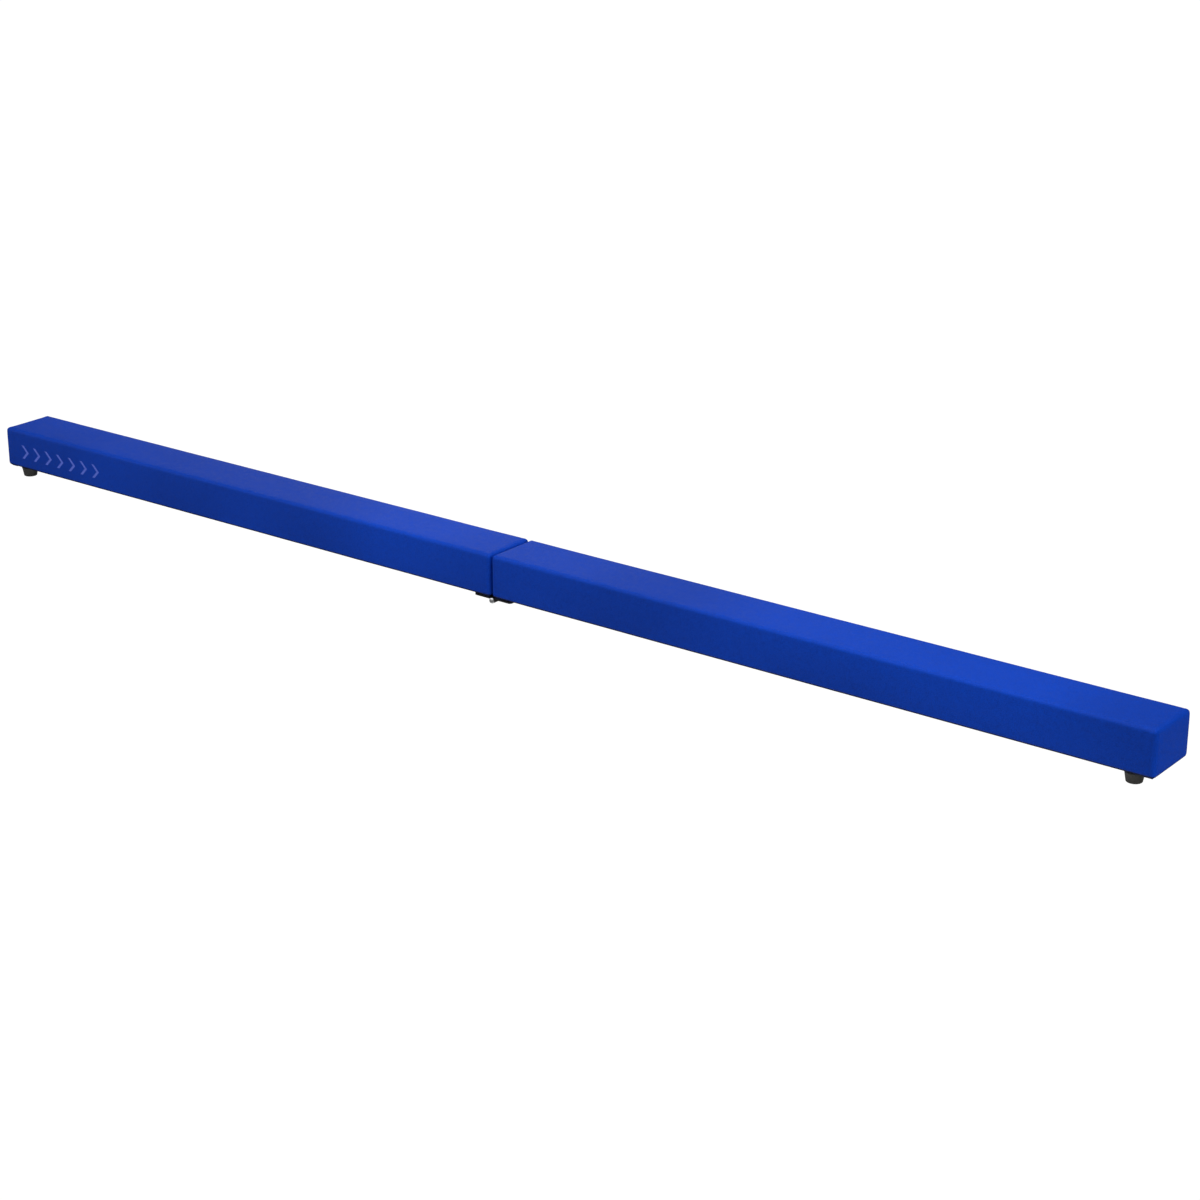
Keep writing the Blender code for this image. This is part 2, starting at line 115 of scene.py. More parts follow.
class FloorBeamColours(bpy.types.PropertyGroup):
    leathercloth: colour_field("Leathercloth", "Royal blue of the cover", "#043DB0")
    print_ink: colour_field("Print", "Ink of the printed arrows", "#5F74DC")
    rubber: colour_field("Rubber", "Feet", "#3A3936")
    powder_coat: colour_field("Powder coat", "Hinge leaves", "#101011")
    zinc: colour_field("Zinc", "Screws, washers, staples and pin", "#E4E6E8")
    dust_cloth: colour_field("Dust cloth", "Non-woven cloth underneath", "#17181B")
    foam: colour_field("Foam", "Padding under the cover", "#E4E2DA")
    plywood: colour_field("Plywood", "Boards of the wooden box", "#C9A97C")
    pine: colour_field("Pine", "Rails, blocks and ribs", "#D9B783")


# Modelling by hand, in code.


def begin():
    """Leaves edit mode and deselects every object."""
    if bpy.context.mode != "OBJECT":
        bpy.ops.object.mode_set(mode="OBJECT")
    bpy.ops.object.select_all(action="DESELECT")


def named(name):
    """Names the primitive just added, and moves its place and size into its mesh."""
    piece = bpy.context.active_object
    piece.name = name
    piece.data.name = name
    bpy.ops.object.transform_apply(location=True, rotation=True, scale=True)
    return piece


def cube(name, low, high):
    """A block between two corners, to be shaped further."""
    begin()
    low, high = Vector(low), Vector(high)
    bpy.ops.mesh.primitive_cube_add(size=1.0, location=(low + high) / 2, scale=high - low)
    return named(name)


def activate(piece):
    begin()
    piece.select_set(True)
    bpy.context.view_layer.objects.active = piece


def edit(piece, kind="FACE"):
    """Goes into edit mode on one piece, with nothing in it selected."""
    activate(piece)
    bpy.ops.object.mode_set(mode="EDIT")
    bpy.ops.mesh.select_mode(type=kind)
    bpy.ops.mesh.select_all(action="DESELECT")


def pick(piece, kind, test):
    """In edit mode, selects the verts, edges or faces that pass a test, and says how many."""
    bpy.ops.mesh.select_mode(type={"verts": "VERT", "edges": "EDGE", "faces": "FACE"}[kind])
    bpy.ops.mesh.select_all(action="DESELECT")
    mesh = bmesh.from_edit_mesh(piece.data)
    chosen = [item for item in getattr(mesh, kind) if test(item)]
    for item in chosen:
        item.select_set(True)
    mesh.select_flush_mode()
    bmesh.update_edit_mesh(piece.data)
    return len(chosen)


def runs_along(edge, axis, least=0.0):
    """True for an edge along an axis and no shorter than least."""
    line = edge.verts[1].co - edge.verts[0].co
    return line.length > least and abs(line.dot(axis)) > 0.995 * line.length


def finish_edit(smooth_angle=None):
    bpy.ops.object.mode_set(mode="OBJECT")
    if smooth_angle is not None:
        bpy.ops.object.shade_smooth_by_angle(angle=math.radians(smooth_angle))


def smooth(piece, angle):
    """Shades a piece smooth, apart from edges sharper than an angle in degrees."""
    activate(piece)
    bpy.ops.object.shade_smooth_by_angle(angle=math.radians(angle))


def apply_modifier(piece, kind, **settings):
    """Adds a modifier, sets it and applies it."""
    activate(piece)
    modifier = piece.modifiers.new(kind.lower(), kind)
    for name, value in settings.items():
        setattr(modifier, name, value)
    bpy.ops.object.modifier_apply(modifier=modifier.name)


def recalculate(piece, merge=1e-6):
    edit(piece, "VERT")
    bpy.ops.mesh.select_all(action="SELECT")
    bpy.ops.mesh.remove_doubles(threshold=merge)
    bpy.ops.mesh.normals_make_consistent(inside=False)
    finish_edit()


def turned(name, outline, steps, closed=False):
    """A piece turned about Z: an outline of (radius, height), extruded point by point and spun."""
    begin()
    bpy.ops.mesh.primitive_plane_add(size=0.01)
    piece = named(name)
    edit(piece, "VERT")
    pick(piece, "verts", lambda v: v.co.x < 0 or v.co.y < 0)
    bpy.ops.mesh.delete(type="VERT")
    bpy.ops.mesh.select_all(action="SELECT")
    start = bmesh.from_edit_mesh(piece.data).verts
    start.ensure_lookup_table()
    radius, height = outline[0]
    bpy.ops.transform.translate(value=Vector((radius, 0, height)) - start[0].co)
    for (r0, h0), (r1, h1) in zip(outline, outline[1:]):
        step = (r1 - r0, 0, h1 - h0)
        bpy.ops.mesh.extrude_vertices_move(TRANSFORM_OT_translate={"value": step})
    if closed:
        pick(piece, "verts", lambda v: len(v.link_edges) == 1)
        bpy.ops.mesh.edge_face_add()
    bpy.ops.mesh.select_all(action="SELECT")
    bpy.ops.mesh.spin(steps=steps, angle=math.tau, center=(0, 0, 0), axis=(0, 0, 1))
    finish_edit()
    recalculate(piece)
    return piece


def cut_away(piece, cutter):
    """Cuts one piece by another, which is then thrown away."""
    apply_modifier(piece, "BOOLEAN", operation="DIFFERENCE", solver="EXACT", object=cutter)
    bpy.data.objects.remove(cutter)


def copied(piece, name, matrix):
    """A copy with its own mesh, moved in its mesh."""
    twin = piece.copy()
    twin.data = piece.data.copy()
    twin.name = name
    twin.data.name = name
    bpy.context.scene.collection.objects.link(twin)
    twin.data.transform(matrix)
    return twin


def joined(pieces, name):
    """Several pieces as one object, each still a separate body."""
    begin()
    for piece in pieces:
        piece.select_set(True)
    bpy.context.view_layer.objects.active = pieces[0]
    bpy.ops.object.join()
    pieces[0].name = name
    pieces[0].data.name = name
    return pieces[0]


def over(node):
    """The move from the origin to above or below a node's middle."""
    low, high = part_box(node)
    middle = (low + high) / 2
    return Matrix.Translation((middle.x, middle.y, 0))


def quarter(steps):
    """The sine and cosine at each step of a quarter turn."""
    turns = (math.pi / 2 * i / steps for i in range(steps + 1))
    return [(math.sin(turn), math.cos(turn)) for turn in turns]


def settle(piece, side, material, nodes=()):
    """Gives a finished piece its material, its body and the nodes it stands for."""
    piece.data.materials.clear()
    piece.data.materials.append(material)
    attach(piece, f"{side}_half")
    if nodes:
        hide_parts(*nodes)
    return piece


# Materials. Each is made once and found again by the function that makes it.


def fill(node, inputs):
    """Fills a node's inputs with values or with other nodes' outputs."""
    for key, value in inputs.items():
        if isinstance(value, bpy.types.NodeSocket):
            node.id_data.links.new(value, node.inputs[key])
        else:
            node.inputs[key].default_value = value


def add_node(tree, kind, inputs=None, **settings):
    """Adds a node, sets it and fills its inputs."""
    node = tree.nodes.new(kind)
    for name, value in settings.items():
        setattr(node, name, value)
    fill(node, inputs or {})
    return node


def new_material(name):
    """An empty material, its Principled shader, and the object coordinates in metres."""
    material = bpy.data.materials.new(name)
    material.use_nodes = True
    tree = material.node_tree
    shader = tree.nodes["Principled BSDF"]
    place = add_node(tree, "ShaderNodeTexCoord").outputs["Object"]
    return material, tree, shader, place


def rgba(colour, lightness=1.0):
    return (*(min(1.0, c * lightness) for c in colour), 1.0)


def per_metre(millimetres):
    """A texture scale whose pattern repeats at a size in millimetres."""
    return 1000.0 / millimetres


# Sizes in the leathercloth, in millimetres. The real pebbles are about 1 mm wide, and are drawn
# larger so that they show from a distance.
PEBBLE = 2.0
WARP = 5
PORE = 0.7
MOTTLE = 9
DRIFT = 250
# How far along the beam, in metres, the slow drift of its blue starts.
DRIFT_START = 2.35


def leathercloth(colours):
    """PU leathercloth: polyurethane on a knitted back, embossed with a fine pebble grain.

    Its surface is matte with a faint haze at low angles. Painted shade darkens the creases
    between pebbles and the cover's edges, and a band of painted shade darkens it where it
    turns under.
    """
    material, tree, shader, place = new_material("pu_leathercloth_embossed_blue")
    warp = add_node(
        tree, "ShaderNodeTexNoise", {"Vector": place, "Scale": per_metre(WARP), "Detail": 2.0}
    ).outputs["Color"]
    bend = {0: warp, 1: (0.0012, 0.0012, 0.0012), 2: place}
    bent = add_node(tree, "ShaderNodeVectorMath", bend, operation="MULTIPLY_ADD").outputs["Vector"]
    pebbles = add_node(
        tree,
        "ShaderNodeTexVoronoi",
        {"Vector": bent, "Scale": per_metre(PEBBLE)},
        feature="DISTANCE_TO_EDGE",
    ).outputs["Distance"]
    fine = add_node(
        tree,
        "ShaderNodeTexNoise",
        {"Vector": place, "Scale": per_metre(PORE), "Detail": 3.0, "Roughness": 0.6},
    ).outputs["Fac"]
    mottle = add_node(
        tree,
        "ShaderNodeTexNoise",
        {"Vector": place, "Scale": per_metre(MOTTLE), "Detail": 4.0, "Roughness": 0.62},
    ).outputs["Fac"]
    drifted = add_node(
        tree, "ShaderNodeMapping", {"Vector": place, "Location": (DRIFT_START, 0.0, 0.0)}
    ).outputs["Vector"]
    drift = add_node(
        tree, "ShaderNodeTexNoise", {"Vector": drifted, "Scale": per_metre(DRIFT), "Detail": 0.0}
    ).outputs["Fac"]
    grain = add_node(
        tree, "ShaderNodeMapRange", {"Value": pebbles, "From Min": 0.01, "From Max": 0.22}
    ).outputs["Result"]
    # Painted shade in the creases between pebbles, and a little painted light on the pebbles
    # themselves.
    painted_crease_shade = add_node(
        tree, "ShaderNodeMapRange", {"Value": grain, "To Min": 0.82, "To Max": 1.12}
    ).outputs["Result"]
    spots = add_node(
        tree,
        "ShaderNodeMapRange",
        {"Value": mottle, "From Min": 0.3, "From Max": 0.7, "To Min": 0.94, "To Max": 1.06},
    ).outputs["Result"]
    slow = add_node(
        tree,
        "ShaderNodeMapRange",
        {"Value": drift, "From Min": 0.3, "From Max": 0.7, "To Min": 0.87, "To Max": 1.11},
    ).outputs["Result"]
    # Painted shade along the cover's edges, read from the edge mask.
    edge = add_node(tree, "ShaderNodeAttribute", attribute_name="edge").outputs["Fac"]
    painted_edge_shade = add_node(
        tree, "ShaderNodeMapRange", {"Value": edge, "To Min": 1.0, "To Max": 0.5}
    ).outputs["Result"]
    # Painted shade in a band round the lowest part of the sides, read from the under mask.
    under = add_node(tree, "ShaderNodeAttribute", attribute_name="under").outputs["Fac"]
    painted_shade_below = add_node(
        tree, "ShaderNodeMapRange", {"Value": under, "To Min": 1.0, "To Max": 0.12}
    ).outputs["Result"]
    # The blue is scaled by the painted crease shade, the mottle, the slow drift, and the painted
    # shade along the edges and round the bottom.
    shade = painted_crease_shade
    for factor in (spots, slow, painted_edge_shade, painted_shade_below):
        shade = add_node(
            tree, "ShaderNodeMath", {0: shade, 1: factor}, operation="MULTIPLY"
        ).outputs["Value"]
    dye_and_shade = {0: colours.leathercloth, "Scale": shade}
    tone = add_node(tree, "ShaderNodeVectorMath", dye_and_shade, operation="SCALE").outputs["Vector"]
    inked = add_node(
        tree,
        "ShaderNodeMix",
        {"Factor": arrows(tree, place), 6: tone, 7: rgba(colours.print_ink)},
        data_type="RGBA",
    ).outputs[2]
    matte = add_node(
        tree,
        "ShaderNodeMapRange",
        {"Value": mottle, "From Min": 0.3, "From Max": 0.7, "To Min": 0.5, "To Max": 0.6},
    ).outputs["Result"]
    rough = add_node(
        tree, "ShaderNodeBump", {"Height": fine, "Distance": 0.00003, "Strength": 0.6}
    ).outputs["Normal"]
    embossed = add_node(
        tree,
        "ShaderNodeBump",
        {"Height": grain, "Distance": 0.00018, "Strength": 0.9, "Normal": rough},
    ).outputs["Normal"]
    fill(shader, {"Base Color": inked, "Roughness": matte, "Normal": embossed})
    fill(shader, {"IOR": 1.5, "Specular IOR Level": 0.1})
    return material


# The row of arrows: its left end, length and middle height. Then each arrow's pitch, stroke and
# height, and how far behind the front face the print still counts.
ARROWS_START = CAD_LOW.x + 0.057
ARROWS_LENGTH = 0.201
ARROWS_LEVEL = 0.052
ARROW_PITCH = 0.0324
ARROW_STROKE = 0.0064
ARROW_HEIGHT = 0.026
PRINT_DEPTH = 0.004


def arrows(tree, place):
    """How much print there is: a row of plain arrowheads on the front face, near the left end."""
    made = dict(add_node(tree, "ShaderNodeSeparateXYZ", {"Vector": place}).outputs.items())
    worn = add_node(
        tree, "ShaderNodeTexNoise", {"Vector": place, "Scale": per_metre(1.5), "Detail": 3.0}
    ).outputs["Fac"]
    made["ink left"] = add_node(
        tree, "ShaderNodeMapRange", {"Value": worn, "From Min": 0.3, "From Max": 0.5, "To Min": 0.6}
    ).outputs["Result"]
    # Each step works on two values, which are earlier steps or numbers.
    for step, operation, *values in (
        ("along", "SUBTRACT", "X", ARROWS_START),
        ("rise", "SUBTRACT", "Z", ARROWS_LEVEL),
        ("height", "ABSOLUTE", "rise", 0.0),
        ("slanted", "ADD", "along", "height"),
        ("repeat", "FLOORED_MODULO", "slanted", ARROW_PITCH),
        ("print", "LESS_THAN", "repeat", ARROW_STROKE),
        ("in height", "LESS_THAN", "height", ARROW_HEIGHT / 2),
        ("past start", "GREATER_THAN", "slanted", 0.0),
        ("before end", "LESS_THAN", "slanted", ARROWS_LENGTH),
        ("on front", "LESS_THAN", "Y", CAD_LOW.y + PRINT_DEPTH),
        ("print", "MULTIPLY", "print", "in height"),
        ("print", "MULTIPLY", "print", "past start"),
        ("print", "MULTIPLY", "print", "before end"),
        ("print", "MULTIPLY", "print", "on front"),
        ("print", "MULTIPLY", "print", "ink left"),
    ):
        inputs = {i: made.get(value, value) for i, value in enumerate(values)}
        node = add_node(tree, "ShaderNodeMath", inputs, operation=operation)
        made[step] = node.outputs["Value"]
    return made["print"]


def rubber(colours):
    """Moulded rubber: black, dull, slightly dusty, with a fine texture from the mould."""
    material, tree, shader, place = new_material("rubber_moulded_black")
    dust = add_node(
        tree, "ShaderNodeTexNoise", {"Vector": place, "Scale": per_metre(4), "Detail": 5.0}
    ).outputs["Fac"]
    tone = add_node(
        tree,
        "ShaderNodeMix",
        {"Factor": dust, 6: rgba(colours.rubber, 0.7), 7: rgba(colours.rubber, 1.5)},
        data_type="RGBA",
    ).outputs[2]
    mould = add_node(
        tree, "ShaderNodeTexNoise", {"Vector": place, "Scale": per_metre(0.6), "Detail": 2.0}
    ).outputs["Fac"]
    skin = add_node(
        tree, "ShaderNodeBump", {"Height": mould, "Distance": 0.00006, "Strength": 0.7}
    ).outputs["Normal"]
    fill(shader, {"Base Color": tone, "Roughness": 0.62, "IOR": 1.52, "Normal": skin})
    return material


def powder_coated(colours):
    """Powder-coated steel: black, satin, with the orange-peel skin that baking leaves."""
    material, tree, shader, place = new_material("steel_powder_coated_black")
    peel = add_node(
        tree, "ShaderNodeTexNoise", {"Vector": place, "Scale": per_metre(1.4), "Detail": 2.0}
    ).outputs["Fac"]
    gloss = add_node(
        tree, "ShaderNodeMapRange", {"Value": peel, "To Min": 0.36, "To Max": 0.5}
    ).outputs["Result"]
    skin = add_node(
        tree, "ShaderNodeBump", {"Height": peel, "Distance": 0.00008, "Strength": 0.7}
    ).outputs["Normal"]
    fill(shader, {"Base Color": rgba(colours.powder_coat), "Roughness": gloss, "Normal": skin})
    fill(shader, {"IOR": 1.5})
    return material


def zinc_plated(colours):
    """Zinc-plated steel: bright, with a faint cloudiness and fine turning marks."""
    material, tree, shader, place = new_material("steel_zinc_plated_bright")
    cloud = add_node(
        tree, "ShaderNodeTexNoise", {"Vector": place, "Scale": per_metre(3), "Detail": 3.0}
    ).outputs["Fac"]
    tone = add_node(
        tree,
        "ShaderNodeMix",
        {"Factor": cloud, 6: rgba(colours.zinc, 0.85), 7: rgba(colours.zinc, 1.15)},
        data_type="RGBA",
    ).outputs[2]
    gloss = add_node(
        tree, "ShaderNodeMapRange", {"Value": cloud, "To Min": 0.22, "To Max": 0.36}
    ).outputs["Result"]
    marks = add_node(
        tree, "ShaderNodeTexNoise", {"Vector": place, "Scale": per_metre(0.25), "Detail": 1.0}
    ).outputs["Fac"]
    skin = add_node(
        tree, "ShaderNodeBump", {"Height": marks, "Distance": 0.00001, "Strength": 0.5}
    ).outputs["Normal"]
    fill(shader, {"Base Color": tone, "Metallic": 1.0, "Roughness": gloss, "Normal": skin})
    return material


def non_woven(colours):
    """Spun-bonded polypropylene: thin black felt with a pattern of bonded points."""
    material, tree, shader, place = new_material("polypropylene_non_woven_black")
    points = add_node(
        tree,
        "ShaderNodeTexVoronoi",
        {"Vector": place, "Scale": per_metre(1.8), "Randomness": 0.15},
        feature="F1",
    ).outputs["Distance"]
    fibres = add_node(
        tree,
        "ShaderNodeTexNoise",
        {"Vector": place, "Scale": per_metre(0.9), "Detail": 5.0, "Roughness": 0.7},
    ).outputs["Fac"]
    tone = add_node(
        tree,
        "ShaderNodeMix",
        {"Factor": fibres, 6: rgba(colours.dust_cloth, 0.6), 7: rgba(colours.dust_cloth, 1.7)},
        data_type="RGBA",
    ).outputs[2]
    fuzz = add_node(
        tree, "ShaderNodeBump", {"Height": fibres, "Distance": 0.0001, "Strength": 0.8}
    ).outputs["Normal"]
    bonded = add_node(
        tree,
        "ShaderNodeBump",
        {"Height": points, "Distance": 0.00015, "Strength": 0.8, "Normal": fuzz},
    ).outputs["Normal"]
    fill(shader, {"Base Color": tone, "Roughness": 0.92, "Sheen Weight": 0.15, "Normal": bonded})
    return material


def closed_cell_foam(colours):
    """Closed-cell polyethylene foam: off-white, dull, with small cells cut open on its faces."""
    material, tree, shader, place = new_material("polyethylene_foam_closed_cell")
    cells = add_node(
        tree, "ShaderNodeTexVoronoi", {"Vector": place, "Scale": per_metre(1.1)}, feature="F1"
    ).outputs["Distance"]
    tone = add_node(
        tree,
        "ShaderNodeMix",
        {"Factor": cells, 6: rgba(colours.foam, 1.02), 7: rgba(colours.foam, 0.8)},
        data_type="RGBA",
    ).outputs[2]
    skin = add_node(
        tree, "ShaderNodeBump", {"Height": cells, "Distance": 0.0002, "Strength": 0.8}, invert=True
    ).outputs["Normal"]
    fill(shader, {"Base Color": tone, "Roughness": 0.88, "Normal": skin})
    fill(shader, {"Subsurface Weight": 0.1, "Subsurface Scale": 0.002})
    return material


def timber(name, colour, ring, figure, stretch):
    """Sawn wood: long bands of early and late wood, which run along the beam, and fine pores."""
    material, tree, shader, place = new_material(name)
    along = add_node(
        tree, "ShaderNodeMapping", {"Vector": place, "Scale": (stretch, 1.0, 1.0)}
    ).outputs["Vector"]
    bands = add_node(
        tree,
        "ShaderNodeTexWave",
        {
            "Vector": along,
            "Scale": per_metre(ring) / math.tau,
            "Distortion": figure,
            "Detail": 3.0,
            "Detail Scale": 1.5,
        },
        wave_type="RINGS",
        rings_direction="X",
    ).outputs["Fac"]
    pores = add_node(
        tree, "ShaderNodeTexNoise", {"Vector": along, "Scale": per_metre(0.8), "Detail": 4.0}
    ).outputs["Fac"]
    mixed = add_node(
        tree, "ShaderNodeMath", {0: bands, 1: 0.6, 2: pores}, operation="MULTIPLY_ADD"
    ).outputs["Value"]
    tone = add_node(
        tree,
        "ShaderNodeMix",
        {"Factor": mixed, 6: rgba(colour, 1.05), 7: rgba(colour, 0.55)},
        data_type="RGBA",
    ).outputs[2]
    skin = add_node(
        tree, "ShaderNodeBump", {"Height": mixed, "Distance": 0.00015, "Strength": 0.6}
    ).outputs["Normal"]
    fill(shader, {"Base Color": tone, "Roughness": 0.7, "IOR": 1.5, "Normal": skin})
    return material


def pine(colours):
    """Planed pine: growth rings about 3 mm apart, with dark late wood."""
    return timber("pine_planed", colours.pine, ring=3.0, figure=3.0, stretch=0.04)


def plywood(colours):
    """Sanded poplar plywood: rotary-cut face with broad, faint figure."""
    return timber("poplar_plywood_sanded", colours.plywood, ring=14.0, figure=6.0, stretch=0.12)


def floor_finish():
    """Matte emulsion on board: pale grey, with no gloss."""
    material, _, shader, _ = new_material("studio_floor_matte_paint")
    fill(shader, {"Base Color": rgba(linear("#B3B3B3")), "Roughness": 0.9})
    return material


MADE = {}


def finish(maker):
    """The material that a maker makes, made once."""
    if maker not in MADE:
        MADE[maker] = maker(bpy.context.scene.floor_beam_colours)
    return MADE[maker]


# The cover.

# How far from the cover's ends the fold lines run: a groove between two lines that stay put.
PLEAT_LINES = (0.0082, 0.0090, 0.0098)
PLEAT_WIDTH = 0.0002
# The last frame of the cloth simulation.
PUSH_FRAMES = 20


def wrapped_box(name, low, high, sizes):
    """A box with an opening below, a turned-in hem round it, rounded edges and an even grid."""
    piece = cube(name, low, high)
    edit(piece)
    pick(piece, "faces", lambda f: f.normal.z < -0.9)
    bpy.ops.mesh.inset(thickness=sizes.hem)
    bpy.ops.mesh.delete(type="FACE")
    pick(piece, "edges", lambda e: not e.is_boundary and any(runs_along(e, a) for a in (X, Y, Z)))
    bpy.ops.mesh.bevel(offset=sizes.edge_radius, segments=4, profile=0.5, affect="EDGES")
    for end, inward in ((low.x, 1), (high.x, -1)):
        for reach in PLEAT_LINES:
            bpy.ops.mesh.select_all(action="SELECT")
            bpy.ops.mesh.bisect(plane_co=(end + inward * reach, 0, 0), plane_no=(1, 0, 0))
    size = high - low
    for axis, length in ((X, size.x), (Y, size.y), (Z, size.z)):
        pick(piece, "edges", lambda e, a=axis, n=length: runs_along(e, a, 0.6 * n))
        bpy.ops.mesh.subdivide(number_cuts=max(1, round(length / sizes.cell) - 1))
    finish_edit()
    return piece


def press_pleats(piece, low, high, sizes):
    """Presses a fold line into the front and back faces beside each upright edge."""
    for vert in piece.data.vertices:
        reach = min(vert.co.x - low.x, high.x - vert.co.x)
        side = min(vert.co.y - low.y, high.y - vert.co.y)
        drop = high.z - vert.co.z
        if abs(reach - PLEAT_LINES[1]) < PLEAT_WIDTH and side < PLEAT_WIDTH:
            fade = min(1.0, max(0.0, (drop - sizes.edge_radius) / (3 * sizes.edge_radius)))
            vert.co.y -= math.copysign(sizes.pleat * fade, vert.co.y)


def fill_with_foam(piece, hem_line, sizes):
    """Lets the foam push the cover out, as cloth under pressure, held at its hem."""
    start = [vert.co.copy() for vert in piece.data.vertices]
    normals = [vert.normal.copy() for vert in piece.data.vertices]
    held = piece.vertex_groups.new(name="stapled")
    held.add([i for i, co in enumerate(start) if co.z < hem_line], 1.0, "REPLACE")
    activate(piece)
    cloth = piece.modifiers.new("foam_push", "CLOTH")
    cloth.settings.vertex_group_mass = held.name
    cloth.settings.quality = 6
    cloth.settings.mass = 0.4
    cloth.settings.tension_stiffness = 40
    cloth.settings.compression_stiffness = 40
    cloth.settings.shear_stiffness = 20
    cloth.settings.bending_stiffness = 4
    cloth.settings.use_pressure = True
    cloth.settings.uniform_pressure_force = 4
    cloth.settings.effector_weights.gravity = 0
    cloth.collision_settings.use_collision = False
    cloth.point_cache.frame_start = 1
    cloth.point_cache.frame_end = PUSH_FRAMES
    for step in range(1, PUSH_FRAMES + 1):
        bpy.context.scene.frame_set(step)
    bpy.ops.object.modifier_apply(modifier=cloth.name)
    bpy.context.scene.frame_set(1)
    piece.vertex_groups.clear()
    for vert, rest, normal in zip(piece.data.vertices, start, normals):
        push = vert.co - rest
        push -= min(0.0, push.dot(normal)) * normal
        if push.length > sizes.swell:
            push *= sizes.swell / push.length
        vert.co = rest + push


def uneven(piece, height, length, seed):
    """Slow waves along a surface's normals, from foam and cloth that are never quite even."""
    shift = Vector((seed, 2.7 * seed, 1.3 * seed))
    normals = [vert.normal.copy() for vert in piece.data.vertices]
    for vert, normal in zip(piece.data.vertices, normals):
        wave = noise.noise(vert.co / length + shift)
        wave += 0.4 * noise.noise(vert.co / (0.3 * length) + shift)
        vert.co += normal * height * wave


def smooth_step(value, full, none):
    """1 at full, 0 at none, eased between."""
    share = min(1.0, max(0.0, (value - none) / (full - none)))
    return share * share * (3 - 2 * share)


def mark_painted_shade(piece, low, high, reach=0.0042, painted_shade_below=0.0048):
    """Stores how near each point is to an edge, and to the underside, for the leathercloth.

    Painted shade darkens the edges, much more at the back and at the left end than elsewhere,
    and a band of painted shade runs round the lowest part of the sides.
    """
    edges, under = [], []
    for vert in piece.data.vertices:
        gaps = sorted(min(vert.co[i] - low[i], high[i] - vert.co[i]) for i in range(3))
        # Painted shade on the edges: strong at the back and at the left end, faint elsewhere.
        deeply_shaded = vert.co.y > high.y - 2 * reach or vert.co.x < CAD_LOW.x + 2 * reach
        edges.append(smooth_step(gaps[1], 0.0, reach) * (1.0 if deeply_shaded else 0.1))
        # A band of painted shade round the lowest part of the sides.
        side = min(gaps[0], gaps[1]) if vert.co.z - low.z > reach else gaps[1]
        band = smooth_step(vert.co.z - low.z, painted_shade_below * 0.8, painted_shade_below)
        under.append(band * smooth_step(side, reach * 0.8, reach * 1.2))
    for name, values in (("edge", edges), ("under", under)):
        attribute = piece.data.attributes.new(name, "FLOAT", "POINT")
        attribute.data.foreach_set("value", values)


class FLOOR_BEAM_OT_covers(bpy.types.Operator):
    """Stretch a padded leathercloth cover over each half"""

    bl_idname = "floor_beam.covers"
    bl_label = "Padded Covers"

    def execute(self, context):
        sizes = context.scene.floor_beam_sizes
        for number, side in enumerate(SIDES):
            low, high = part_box(f"{side}_cover")
            slack = Vector((sizes.shrink,) * 3)
            low, high = low + slack, high - slack
            low.z -= sizes.shrink
            piece = wrapped_box(f"{side}_padded_cover", low, high, sizes)
            press_pleats(piece, low, high, sizes)
            fill_with_foam(piece, low.z + PLEAT_WIDTH, sizes)
            uneven(piece, sizes.unevenness, length=0.11, seed=5.3 * (number + 1))
            apply_modifier(piece, "SUBSURF", levels=1, render_levels=1)
            apply_modifier(piece, "SOLIDIFY", thickness=sizes.skin, offset=-1.0)
            # Masks for the painted shade along the edges and round the bottom.
            mark_painted_shade(piece, low, high)
            smooth(piece, SOFT_ANGLE)
            settle(piece, side, finish(leathercloth), [f"{side}_cover"])
        return {"FINISHED"}


# How much painted shade darkens the folded corners, from 0 to 1.
TUCK_SHADE = 0.75


class FLOOR_BEAM_OT_tucks(bpy.types.Operator):
    """Fold the spare leathercloth into a triangle under each corner"""

    bl_idname = "floor_beam.tucks"
    bl_label = "Corner Tucks"

    def execute(self, context):
        sizes = context.scene.floor_beam_sizes
        for side in SIDES:
            low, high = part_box(f"{side}_cover")
            made = [
                self.tuck(across, along, low.z, sizes)
                for across in ((low.x, 1), (high.x, -1))
                for along in ((low.y, 1), (high.y, -1))
            ]
            piece = joined(made, f"{side}_corner_tucks")
            # Painted shade over the whole of each folded corner, under the beam.
            tuck_shade = piece.data.attributes.new("under", "FLOAT", "POINT")
            tuck_shade.data.foreach_set("value", [TUCK_SHADE] * len(piece.data.vertices))
            settle(piece, side, finish(leathercloth))
        return {"FINISHED"}

    def tuck(self, across, along, level, sizes):
        """One folded triangle, its right angle just inside a corner."""
        (x, inward_x), (y, inward_y) = across, along
        inset, fold = 0.0056, 0.00045
        corner = Vector((x + inward_x * inset, y + inward_y * inset, level))
        far = corner + Vector((inward_x * sizes.tuck, inward_y * sizes.tuck, 0))
        low = Vector(map(min, corner, far))
        high = Vector(map(max, corner, far))
        piece = cube("tuck", low - Z * sizes.skin, high + Z * sizes.skin * 0.2)
        edit(piece)
        bpy.ops.mesh.select_all(action="SELECT")
        cut_at = corner + Vector((inward_x * sizes.tuck / 2, inward_y * sizes.tuck / 2, 0))
        bpy.ops.mesh.bisect(
            plane_co=cut_at, plane_no=(inward_x, inward_y, 0), clear_outer=True, use_fill=True
        )
        bpy.ops.mesh.select_all(action="SELECT")
        bpy.ops.mesh.bevel(offset=fold, segments=2, affect="EDGES")
        finish_edit(SOFT_ANGLE)
        return piece


